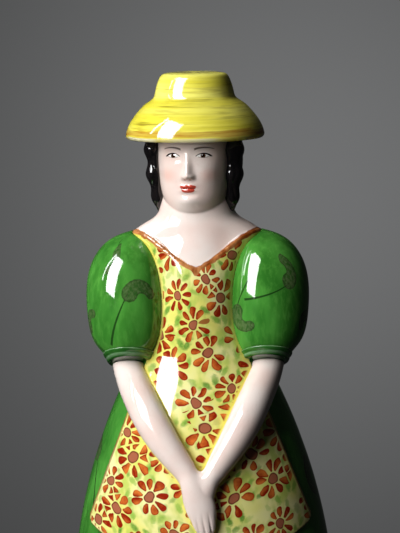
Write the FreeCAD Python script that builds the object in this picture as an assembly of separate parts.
import FreeCAD, Part
import math
import os

from FreeCAD import Vector

# Figural liquor decanter: a hollow glazed figure whose straw hat is the stopper.
# The pieces are the castings that are joined with slip before firing, and the hat with its cork.
# Millimetres and degrees, +Z up, the figure looks along -Y, origin at the middle of the foot.
# Left and right are the figure's own, so its right side is at -X.

# Hollow body
WALL = 4.0
SKIRT_HEIGHT = 154.0
SKIRT_WIDTH = 110.0
SKIRT_DEPTH = 100.0
WAIST_WIDTH = 50.0
WAIST_DEPTH = 43.0
BODICE_HEIGHT = 57.0
CHEST_WIDTH = 34.6
CHEST_DEPTH = 39.6
CHEST_FORWARD = 1.7
SHOULDER_WIDTH = 50.0
NECK_WIDTH = 30.0
NECK_DEPTH = 24.8
NECK_TONGUE = 6.0
NECK_TAPER = 1.6
# share of the skirt's height, share of the way from the waist's size to the skirt's
SKIRT_SHARES = (
    (0.0, 0.965),
    (0.04, 0.99),
    (0.175, 1.0),
    (0.325, 0.962),
    (0.516, 0.845),
    (0.657, 0.692),
    (0.79, 0.478),
    (0.896, 0.257),
)
# share of the bodice's height, share of the way from the waist's size to the chest's
WAIST_SHARES = ((0.0, 0.0), (0.16, 0.62), (0.37, 1.0))
# share of the bodice's height, share of the way from the chest's width to the shoulders',
# share of the way from the chest's depth to the neck's
SHOULDER_SHARES = ((0.56, 0.07, 0.24), (0.70, 0.47, 0.52), (0.79, 0.84, 0.70), (0.845, 1.0, 0.82))
# share of the bodice's height, shares of the way from the shoulders' width to the neck's
# and from the chest's depth to the neck's
NECK_SHARES = ((0.877, 0.13, 0.87), (0.918, 0.50, 0.925), (0.96, 0.855, 0.97), (1.0, 1.0, 1.0))

# Base that closes the skirt
BASE_THICKNESS = 4.5
BASE_RECESS = 2.5

# Head, which holds the mouth of the decanter
HEAD_RISE = 29.5
HEAD_WIDTH = 30.0
HEAD_DEPTH = 34.0
HEAD_TURN = -8.5
MOUTH_BORE = 18.0
# share of the head's rise, shares of the head's half width, front half depth and back half depth
HEAD_SHARES = (
    (-0.06, 0.48, 0.50, 0.55),
    (0.05, 0.70, 0.86, 0.70),
    (0.15, 0.82, 0.95, 0.78),
    (0.32, 0.92, 1.0, 0.88),
    (0.58, 0.975, 1.02, 0.97),
    (0.80, 1.0, 1.0, 1.0),
    (1.0, 0.985, 0.96, 0.97),
)
NECKLINE_WIDTH = 52.0
NECKLINE_HEIGHT = 49.2
NECKLINE_FRONT_DROP = 13.7
NECKLINE_BACK_DROP = 4.5
# shares of the neckline's half width and of its drop, from the lowest point to the shoulder
FRONT_NECKLINE_SHARES = ((0.0, 1.0), (0.30, 0.70), (0.58, 0.30), (0.82, 0.04), (1.0, 0.0))
BACK_NECKLINE_SHARES = ((0.0, 1.0), (0.35, 0.86), (0.65, 0.45), (0.85, 0.1), (1.0, 0.0))

# Hair
HAIR_THICKNESS = 3.6
HAIR_TOP_GAP = 0.4
# share of the head's rise, share of the hair's thickness
HAIR_SHARES = ((-0.16, -1.2), (0.0, 0.3), (0.2, 0.85), (0.5, 1.0), (0.8, 1.0), (1.0, 0.9))
CURL_RADIUS = 3.7
CURL_DEPTH = 4.6
CURL_LENGTH = 30.0
CURL_OUT = 1.0
CURL_FORWARD = 3.2
CURL_BEND = 1.8
CURL_WAVES = 3
CURL_WAVE_SHARE = 0.16
CURL_TIP_SHARE = 0.30
CURL_STEPS = 18

# Puffed sleeves with a rolled band at the hem
SLEEVE_LENGTH = 59.4
SLEEVE_TOP = 50.0
SLEEVE_WIDTH = 32.8
SLEEVE_DEPTH = 35.0
SLEEVE_SPREAD = 28.0
SLEEVE_FORWARD = 13.5
SLEEVE_PIVOT_SHARE = 0.03
HEM_TILT = 23.5
HEM_HEIGHT = -3.3
CUFF_HEIGHT = 3.0
CUFF_PROUD = 0.5
# share of the sleeve's length from its top, share of its spread, share of its half width
SLEEVE_SHARES = (
    (0.035, 0.885, 0.29),
    (0.095, 0.94, 0.62),
    (0.23, 0.99, 0.89),
    (0.42, 1.0, 1.0),
    (0.56, 0.995, 0.985),
    (0.76, 0.985, 0.80),
    (1.0, 0.95, 0.55),
)
SLEEVE_TIP_SHARE = 0.85

# Forearms and folded hands, which lie on the front of the dress
ELBOW_RADIUS = 6.6
WRIST_RADIUS = 4.8
ARM_SINK_SHARE = 0.30
WRIST_HEIGHT = 111.0
WRIST_SPREAD = 4.6
WRISTS_ASIDE = 1.4
# share of the fall from the hem to the wrist, share of the way in to the wrist,
# share of the way from the elbow's radius to the wrist's
FOREARM_SHARES = (
    (0.0, 0.0, 0.0),
    (0.2, 0.125, 0.02),
    (0.455, 0.36, -0.05),
    (0.68, 0.60, 0.28),
    (0.88, 0.85, 0.85),
    (1.0, 1.0, 1.0),
)
HAND_LENGTH = 23.0
HAND_WIDTH = 12.0
HAND_THICKNESS = 7.4
HAND_CROSS = 6.6
UNDER_HAND_LENGTH = 13.0
UNDER_HAND_WIDTH = 9.6
UNDER_HAND_CROSS = 5.5
# share of the hand's length from the wrist, share of its way across,
# shares of its half width and half thickness
HAND_SHARES = (
    (0.22, 0.34, 0.90, 1.10),
    (0.42, 0.60, 1.0, 1.0),
    (0.64, 0.82, 0.92, 0.84),
    (0.84, 0.95, 0.72, 0.64),
    (1.0, 1.0, 0.40, 0.40),
)

# Apron front, a thin sheet of clay laid on the skirt
APRON_THICKNESS = 0.9
APRON_LENGTH = 78.0
APRON_WIDTH = 90.0
APRON_WAIST_WIDTH = 40.0
APRON_CORNER = 4.0
APRON_HEM_DROP = 13.5
APRON_SEAT = 0.04

# Hat stopper
HAT_HEIGHT = 25.4
HAT_WIDTH = 55.2
CROWN_WIDTH = 32.6
CROWN_HEIGHT = 9.9
LIP_DROP = 1.0
HAT_WALL = 3.2
# share of the way from the crown's edge to the brim's, share of the brim's height
BRIM_SHARES = ((1.0, 0.05), (0.95, 0.19), (0.80, 0.41), (0.57, 0.63), (0.26, 0.85), (0.0, 1.0))
# share of the crown's half width, share of the crown's height
CROWN_SHARES = (
    (0.955, 0.25),
    (0.915, 0.50),
    (0.865, 0.72),
    (0.795, 0.89),
    (0.68, 0.957),
    (0.42, 0.99),
    (0.0, 1.0),
)
LIP_SHARE = 0.4
PLUG_WIDTH = 24.0
SPIGOT_LENGTH = 21.0
SPIGOT_WIDTH = 12.4
VENT_WIDTH = 5.0
CORK_LENGTH = 18.0
CORK_CLEARANCE = 0.1
CORK_TAPER = 0.4
CORK_CHAMFER = 1.0
CORK_TOP_GAP = 0.3

# Construction
CUT_OVERRUN = 20.0
SECTION_STEP = 4.22
NECK_STEP = 2.0

WAIST_Z = SKIRT_HEIGHT
NECK_Z = WAIST_Z + BODICE_HEIGHT
SHOULDER_Z = WAIST_Z + SHOULDER_SHARES[-1][0] * BODICE_HEIGHT
MOUTH_Z = NECK_Z + HEAD_RISE
UP = Vector(0, 0, 1)
ACROSS = Vector(1, 0, 0)


def mix(start, end, share):
    return start + (end - start) * share


def ring(centre, half_width, half_depth, along=UP, across=ACROSS):
    """Oval wire square to a direction; its seam lies on the +Y side of an upright piece."""
    along = Vector(along).normalize()
    side = (across - along * across.dot(along)).normalize()
    back = along.cross(side)
    oval = Part.Circle(Vector(0, 0, 0), UP, 1).toBSpline()
    for index, pole in enumerate(oval.getPoles(), start=1):
        oval.setPole(index, centre + back * (half_depth * pole.x) - side * (half_width * pole.y))
    return Part.Wire(oval.toShape())


def loft(sections):
    return Part.makeLoft(sections, True, False)


def trimmed(form, neighbours):
    """A form cut back by the pieces that it seats on."""
    for neighbour in neighbours:
        form = form.cut(neighbour)
    return form


def slab(low, high):
    """Everything between two heights."""
    side = SKIRT_WIDTH + SKIRT_DEPTH
    return Part.makeBox(side, side, high - low, Vector(-side / 2, -side / 2, low))


# Outline of the hollow body

def figure_rows():
    """Height, half width, half depth and middle of each section, from the foot to the neck."""
    rows = []

    def add(height, width, depth, forward):
        rows.append((height, width / 2, depth / 2, -forward))

    for height, bell in SKIRT_SHARES:
        add(
            height * SKIRT_HEIGHT,
            mix(WAIST_WIDTH, SKIRT_WIDTH, bell),
            mix(WAIST_DEPTH, SKIRT_DEPTH, bell),
            mix(CHEST_FORWARD, 0, bell),
        )
    for height, slim in WAIST_SHARES:
        add(
            WAIST_Z + height * BODICE_HEIGHT,
            mix(WAIST_WIDTH, CHEST_WIDTH, slim),
            mix(WAIST_DEPTH, CHEST_DEPTH, slim),
            CHEST_FORWARD,
        )
    for height, across, through in SHOULDER_SHARES:
        add(
            WAIST_Z + height * BODICE_HEIGHT,
            mix(CHEST_WIDTH, SHOULDER_WIDTH, across),
            mix(CHEST_DEPTH, NECK_DEPTH, through),
            mix(CHEST_FORWARD, 0, through),
        )
    for height, across, through in NECK_SHARES:
        add(
            WAIST_Z + height * BODICE_HEIGHT,
            mix(SHOULDER_WIDTH, NECK_WIDTH, across),
            mix(CHEST_DEPTH, NECK_DEPTH, through),
            mix(CHEST_FORWARD, 0, through),
        )
    return rows


def outline_at(height):
    """Half width, half depth and middle of the body at any height, on a smooth line through the rows."""
    rows = figure_rows()
    index = 0
    while index < len(rows) - 2 and height > rows[index + 1][0]:
        index += 1
    low, high = rows[index], rows[index + 1]
    before = rows[max(index - 1, 0)]
    after = rows[min(index + 2, len(rows) - 1)]
    gap = high[0] - low[0]
    share = (height - low[0]) / gap
    values = []
    for column in range(1, len(low)):
        start, end = low[column], high[column]
        lean = gap * (end - before[column]) / (high[0] - before[0])
        late_lean = gap * (after[column] - start) / (after[0] - low[0])
        values.append(
            start * (1 + 2 * share) * (1 - share) ** 2
            + end * share ** 2 * (3 - 2 * share)
            + lean * share * (1 - share) ** 2
            - late_lean * share ** 2 * (1 - share)
        )
    return values


def front_at(x, height):
    """Y of the front of the body at a place across and up it."""
    half_width, half_depth, middle = outline_at(height)
    return middle - half_depth * math.sqrt(max(0, 1 - (x / half_width) ** 2))


def stations(low, high, spacing=SECTION_STEP):
    """Evenly spaced heights for the sections of a form, both ends included."""
    count = max(1, round((high - low) / spacing))
    return [mix(low, high, step / count) for step in range(count + 1)]


def figure_form(swell=0, low=0):
    """The body's outer form, solid, swollen by a thickness where asked."""
    sections = []
    for height in stations(low, SHOULDER_Z)[:-1] + stations(SHOULDER_Z, NECK_Z, NECK_STEP):
        half_width, half_depth, middle = outline_at(height)
        sections.append(ring(Vector(0, middle, height), half_width + swell, half_depth + swell))
    half_width, half_depth, middle = outline_at(NECK_Z)
    for height in stations(NECK_Z, NECK_Z + NECK_TONGUE, NECK_STEP)[1:]:
        slimmer = NECK_TAPER * (height - NECK_Z) / NECK_TONGUE - swell
        sections.append(ring(Vector(0, middle, height), half_width - slimmer, half_depth - slimmer))
    return loft(sections)


def chamber_form():
    """The space for the liquor, from the foot to the shoulders."""
    chest_z = WAIST_Z + WAIST_SHARES[-1][0] * BODICE_HEIGHT
    sections = []
    for height in stations(0, SHOULDER_Z):
        half_width, half_depth, middle = outline_at(height)
        lowered = height - WALL * max(0, height - chest_z) / (SHOULDER_Z - chest_z)
        sections.append(ring(Vector(0, middle, lowered), half_width - WALL, half_depth - WALL))
    return loft(sections)


def bore_form():
    """The straight bore from the chamber's top to the mouth."""
    bottom = SHOULDER_Z - 2 * WALL
    length = MOUTH_Z + CUT_OVERRUN - bottom
    return Part.makeCylinder(MOUTH_BORE / 2, length, Vector(0, 0, bottom))


# Castings of the body

def neckline_half(shares, drop, direction):
    """Everything above one side's neckline, as a prism from the middle plane outwards."""
    shoulder_z = WAIST_Z + NECKLINE_HEIGHT
    half = [
        Vector(across * NECKLINE_WIDTH / 2, 0, shoulder_z - fall * drop)
        for across, fall in shares
    ]
    mirrored = [Vector(-p.x, 0, p.z) for p in reversed(half)]
    curves = []
    for points in (mirrored, half):
        curve = Part.BSplineCurve()
        curve.interpolate(points)
        curves.append(curve.toShape())
    top = MOUTH_Z + CUT_OVERRUN
    left = Vector(-SKIRT_WIDTH / 2, 0, shoulder_z)
    right = Vector(SKIRT_WIDTH / 2, 0, shoulder_z)
    corners = [half[-1], right, Vector(right.x, 0, top), Vector(left.x, 0, top), left, mirrored[0]]
    sides = [Part.LineSegment(a, b).toShape() for a, b in zip(corners, corners[1:])]
    face = Part.Face(Part.Wire(curves + sides))
    return face.extrude(Vector(0, direction * SKIRT_DEPTH, 0))


def yoke_form():
    front = neckline_half(FRONT_NECKLINE_SHARES, NECKLINE_FRONT_DROP, -1)
    back = neckline_half(BACK_NECKLINE_SHARES, NECKLINE_BACK_DROP, 1)
    return front.fuse(back)


def head_section(rise, width, front, back, swell=0):
    """One section of the head: shares of its rise and half sizes, swollen by a thickness."""
    half = HEAD_DEPTH / 2
    return ring(
        Vector(0, (back - front) * half / 2, NECK_Z + rise * HEAD_RISE),
        width * HEAD_WIDTH / 2 + swell,
        (front + back) * half / 2 + swell,
    )


def head_form():
    form = loft([head_section(*row) for row in HEAD_SHARES])
    form.rotate(Vector(0, 0, 0), UP, HEAD_TURN)
    return form


def skirt_shell(figure, chamber):
    return figure.common(slab(0, WAIST_Z)).cut(chamber)


def base_plate(chamber):
    return chamber.common(slab(BASE_RECESS, BASE_RECESS + BASE_THICKNESS))


def bodice_form(yoke):
    """The bodice's outside, which stands proud of the skin and level with the apron below it."""
    dress = figure_form(APRON_THICKNESS, low=WAIST_Z - CUT_OVERRUN)
    return dress.common(slab(WAIST_Z, MOUTH_Z)).cut(yoke)


def bodice_shell(bodice, chamber, bore):
    return bodice.cut(chamber).cut(bore)


def shoulder_head(figure, chamber, bore, yoke, head):
    shoulders = figure.common(yoke)
    return shoulders.fuse(head).cut(chamber).cut(bore)


# Hair

def hair_back(head, figure, locks):
    """Thick hair over the back of the head, down to the nape."""
    sections = []
    for rise, thickness in HAIR_SHARES:
        row = min(HEAD_SHARES, key=lambda head_row: abs(head_row[0] - rise))
        sections.append(head_section(rise, *row[1:], swell=thickness * HAIR_THICKNESS))
    form = loft(sections)
    form.rotate(Vector(0, 0, 0), UP, HEAD_TURN)
    side = SKIRT_WIDTH
    front = CURL_DEPTH / 2 - CURL_FORWARD
    behind = Part.makeBox(side, side, side, Vector(-side / 2, front, NECK_Z - side / 2))
    behind.rotate(Vector(0, 0, 0), UP, HEAD_TURN)
    below_hat = slab(NECK_Z - SKIRT_HEIGHT / 2, MOUTH_Z - HAIR_TOP_GAP)
    return trimmed(form.common(behind).common(below_hat), [head, figure, *locks])


def lock_form(side):
    """A hanging lock that swells and narrows in waves beside the cheek."""
    sections = []
    for step in range(CURL_STEPS + 1):
        down = step / CURL_STEPS
        inward = CURL_BEND * down ** 2
        wave = 1 - CURL_WAVE_SHARE * math.cos(2 * math.pi * CURL_WAVES * down)
        size = wave * mix(1, CURL_TIP_SHARE, down ** 4)
        place = Vector(
            side * (HEAD_WIDTH / 2 + CURL_OUT - inward),
            inward - CURL_FORWARD,
            MOUTH_Z - HAIR_TOP_GAP - down * CURL_LENGTH,
        )
        sections.append(ring(place, size * CURL_RADIUS, size * CURL_DEPTH))
    lock = loft(sections)
    lock.rotate(Vector(0, 0, 0), UP, HEAD_TURN)
    return lock


# Sleeves

def sleeve_form(side, swell=0):
    """The puffed sleeve as one closed form, past its hem."""
    top = WAIST_Z + SLEEVE_TOP

    def place(down, spread):
        forward = SLEEVE_FORWARD * (down - SLEEVE_PIVOT_SHARE)
        return Vector(side * spread * SLEEVE_SPREAD, -forward, top - down * SLEEVE_LENGTH)

    sections = [Part.Vertex(place(0, SLEEVE_TIP_SHARE))]
    for down, spread, size in SLEEVE_SHARES:
        sections.append(ring(
            place(down, spread),
            size * SLEEVE_WIDTH / 2 + swell,
            size * SLEEVE_DEPTH / 2 + swell,
        ))
    return loft(sections)


def hem_point(side):
    """Middle of the sleeve's hem."""
    height = WAIST_Z + HEM_HEIGHT
    down = (WAIST_Z + SLEEVE_TOP - height) / SLEEVE_LENGTH
    forward = SLEEVE_FORWARD * (down - SLEEVE_PIVOT_SHARE)
    return Vector(side * SLEEVE_SHARES[-2][1] * SLEEVE_SPREAD, -forward, height)


def up_sleeve():
    """Direction square to the hem's tilted plane."""
    tilt = math.radians(HEM_TILT)
    return Vector(0, math.sin(tilt), math.cos(tilt))


def below_hem(side, raised):
    """Everything below the hem's tilted plane, or below a plane raised from it."""
    size = SKIRT_WIDTH
    block = Part.makeBox(size, size, size, Vector(-size / 2, -size / 2, -size))
    block.rotate(Vector(0, 0, 0), ACROSS, -HEM_TILT)
    block.translate(hem_point(side) + up_sleeve() * raised)
    return block


def sleeve(side, torso):
    """The puff outside the body; the thin scrap that comes out over the shoulder is left off."""
    form = sleeve_form(side).cut(below_hem(side, CUFF_HEIGHT))
    return max(trimmed(form, torso).Solids, key=lambda solid: solid.Volume)


def cuff(side, torso):
    band = sleeve_form(side, CUFF_PROUD).common(below_hem(side, CUFF_HEIGHT))
    return trimmed(band.cut(below_hem(side, 0)), torso)


# Arms and hands

def forearm_route(side):
    """Points from the hem's middle down to the wrist, on the front of the dress."""
    hem = hem_point(side)
    points = []
    for fall, inward, slimmer in FOREARM_SHARES:
        x = mix(hem.x, WRISTS_ASIDE + side * WRIST_SPREAD, inward)
        z = mix(hem.z, WRIST_HEIGHT, fall)
        radius = mix(ELBOW_RADIUS, WRIST_RADIUS, slimmer)
        on_dress = front_at(x, z) - radius * (1 - 2 * ARM_SINK_SHARE) - APRON_THICKNESS
        points.append(Vector(x, min(on_dress, hem.y), z))
    return [hem] + points[1:]


def along_route(points, index):
    before = points[max(index - 1, 0)]
    after = points[min(index + 1, len(points) - 1)]
    return (after - before).normalize()


def forearm(side, neighbours):
    """The bare arm from the cuff's face to the wrist."""
    points = forearm_route(side)
    sections = []
    for index, (point, shares) in enumerate(zip(points, FOREARM_SHARES)):
        radius = mix(ELBOW_RADIUS, WRIST_RADIUS, shares[2])
        direction = along_route(points, index) if index else up_sleeve() * -1
        sections.append(ring(point, radius, radius, along=direction))
    return trimmed(loft(sections), neighbours)


def hand(side, length, width, cross, neighbours):
    """A relaxed hand that hangs from the forearm's end face over the middle of the apron."""
    route = forearm_route(side)
    wrist = route[-1]
    sections = [ring(wrist, WRIST_RADIUS, WRIST_RADIUS, along=along_route(route, len(route) - 1))]
    places = [wrist]
    for down, over, breadth, thickness in HAND_SHARES:
        x = wrist.x - side * cross * over
        z = wrist.z - length * down
        lift = HAND_THICKNESS / 2 * thickness * (1 - ARM_SINK_SHARE)
        places.append(Vector(x, front_at(x, z) - APRON_THICKNESS - lift, z))
    for index, row in enumerate(HAND_SHARES, start=1):
        sections.append(ring(
            places[index],
            row[2] * width / 2,
            row[3] * HAND_THICKNESS / 2,
            along=along_route(places, index),
        ))
    return trimmed(loft(sections), neighbours)


def apron_front(seat):
    """The apron's skirt: a thin curved sheet with rounded lower corners."""
    low = WAIST_Z - APRON_LENGTH
    waist_left = Vector(-APRON_WAIST_WIDTH / 2, 0, WAIST_Z)
    waist_right = Vector(APRON_WAIST_WIDTH / 2, 0, WAIST_Z)
    corner_left = Vector(-APRON_WIDTH / 2, 0, low + APRON_HEM_DROP)
    corner_right = Vector(APRON_WIDTH / 2, 0, low + APRON_HEM_DROP)
    edges = [
        Part.LineSegment(waist_left, waist_right),
        Part.LineSegment(waist_right, corner_right),
        Part.Arc(corner_right, Vector(0, 0, low), corner_left),
        Part.LineSegment(corner_left, waist_left),
    ]
    outline = Part.Face(Part.Wire([edge.toShape() for edge in edges]))
    front = outline.extrude(Vector(0, -SKIRT_DEPTH, 0))
    corners = [
        edge for edge in front.Edges
        if edge.BoundBox.YLength > SKIRT_DEPTH / 2 and edge.BoundBox.ZMax < WAIST_Z - APRON_HEM_DROP
    ]
    rounded = front.makeFillet(APRON_CORNER, corners)
    sheet = figure_form(APRON_THICKNESS, low=low - CUT_OVERRUN)
    return sheet.common(rounded).common(slab(0, WAIST_Z)).cut(seat)


# Hat stopper

def hat():
    """Brim and crown as one hollow turned casting, open underneath for the plug."""
    seat = MOUTH_Z
    top = seat + HAT_HEIGHT
    edge = HAT_WIDTH / 2
    crown = CROWN_WIDTH / 2
    crown_base = top - CROWN_HEIGHT
    floor_top = seat + HAT_WALL
    opening = PLUG_WIDTH / 2

    def point(radius, height):
        return Vector(radius, 0, height)

    brim_points = [
        point(mix(crown, edge, out), mix(seat, crown_base, rise)) for out, rise in BRIM_SHARES
    ]
    crown_points = [point(crown * out, crown_base + CROWN_HEIGHT * rise) for out, rise in CROWN_SHARES]
    outer = Part.BSplineCurve()
    outer.interpolate(brim_points + crown_points)
    inner = Part.BSplineCurve()
    inner.interpolate([
        point(0, top - HAT_WALL),
        point(CROWN_SHARES[-2][0] * crown, top - HAT_WALL),
        point(CROWN_SHARES[1][0] * crown - HAT_WALL, crown_base + CROWN_SHARES[1][1] * CROWN_HEIGHT),
        point(crown - HAT_WALL, crown_base - HAT_WALL / 2),
        point(brim_points[3].x - HAT_WALL, floor_top),
    ])
    underside = point(edge - HAT_WALL, seat)
    lip = Part.Arc(underside, point(edge - HAT_WALL * LIP_SHARE, seat - LIP_DROP), brim_points[0])
    lines = [
        Part.LineSegment(outer.EndPoint, inner.StartPoint),
        Part.LineSegment(inner.EndPoint, point(opening, floor_top)),
        Part.LineSegment(point(opening, floor_top), point(opening, seat)),
        Part.LineSegment(point(opening, seat), underside),
    ]
    edges = [curve.toShape() for curve in [outer, inner, lip] + lines]
    profile = Part.Face(Part.Wire(Part.__sortEdges__(edges)))
    return profile.revolve(Vector(0, 0, 0), UP, 360)


def stopper_plug():
    """Disc that closes the hat, with the hollow spigot that carries the cork."""
    disc = Part.makeCylinder(PLUG_WIDTH / 2, HAT_WALL, Vector(0, 0, MOUTH_Z))
    spigot = Part.makeCylinder(SPIGOT_WIDTH / 2, SPIGOT_LENGTH, Vector(0, 0, MOUTH_Z - SPIGOT_LENGTH))
    length = SPIGOT_LENGTH + HAT_WALL
    vent = Part.makeCylinder(VENT_WIDTH / 2, length, Vector(0, 0, MOUTH_Z - SPIGOT_LENGTH))
    return disc.fuse(spigot).cut(vent).removeSplitter()


def cork_sleeve():
    """Tapered cork tube on the spigot, with a chamfer to lead it into the mouth."""
    top = MOUTH_Z - CORK_TOP_GAP
    bottom = top - CORK_LENGTH
    outer = MOUTH_BORE / 2 - CORK_CLEARANCE
    lower = outer - CORK_TAPER
    inner = SPIGOT_WIDTH / 2
    corners = [
        Vector(inner, 0, top),
        Vector(outer, 0, top),
        Vector(lower, 0, bottom + CORK_CHAMFER),
        Vector(lower - CORK_CHAMFER, 0, bottom),
        Vector(inner, 0, bottom),
        Vector(inner, 0, top),
    ]
    return Part.Face(Part.makePolygon(corners)).revolve(Vector(0, 0, 0), UP, 360)


def build():
    figure = figure_form()
    seat = figure_form(APRON_SEAT)
    chamber = chamber_form()
    bore = bore_form()
    yoke = yoke_form()
    head = head_form()
    bodice = bodice_form(yoke)
    sides = {"right": -1, "left": 1}
    locks = {name: lock_form(side) for name, side in sides.items()}

    nodes = {
        "skirt_shell": skirt_shell(figure, chamber),
        "base_plate": base_plate(chamber),
        "bodice_shell": bodice_shell(bodice, chamber, bore),
        "shoulder_head": shoulder_head(figure, chamber, bore, yoke, head),
        "hair_back": hair_back(head, figure, locks.values()),
        "apron_front": apron_front(seat),
        "hat": hat(),
        "stopper_plug": stopper_plug(),
        "cork_sleeve": cork_sleeve(),
    }
    torso = [figure, bodice]
    dress = [seat, bodice, nodes["apron_front"]]
    for name, side in sides.items():
        nodes[name + "_curls"] = trimmed(locks[name], [head, figure])
        nodes[name + "_sleeve"] = sleeve(side, torso)
        nodes[name + "_cuff"] = cuff(side, dress)
        nodes[name + "_forearm"] = forearm(side, dress)
    nodes["right_hand"] = hand(sides["right"], HAND_LENGTH, HAND_WIDTH, HAND_CROSS, dress)
    over = [nodes["right_forearm"], nodes["right_hand"]]
    nodes["left_forearm"] = trimmed(nodes["left_forearm"], over)
    nodes["left_hand"] = hand(
        sides["left"], UNDER_HAND_LENGTH, UNDER_HAND_WIDTH, UNDER_HAND_CROSS, dress + over
    )
    return nodes


def main():
    os.makedirs("parts", exist_ok=True)
    for name, shape in build().items():
        shape.exportStep(os.path.join("parts", name + ".step"))
        print(
            f"{name:15s} solids {len(shape.Solids)} valid {shape.isValid()} "
            f"volume {shape.Volume:9.1f} faces {len(shape.Faces)}"
        )


main()
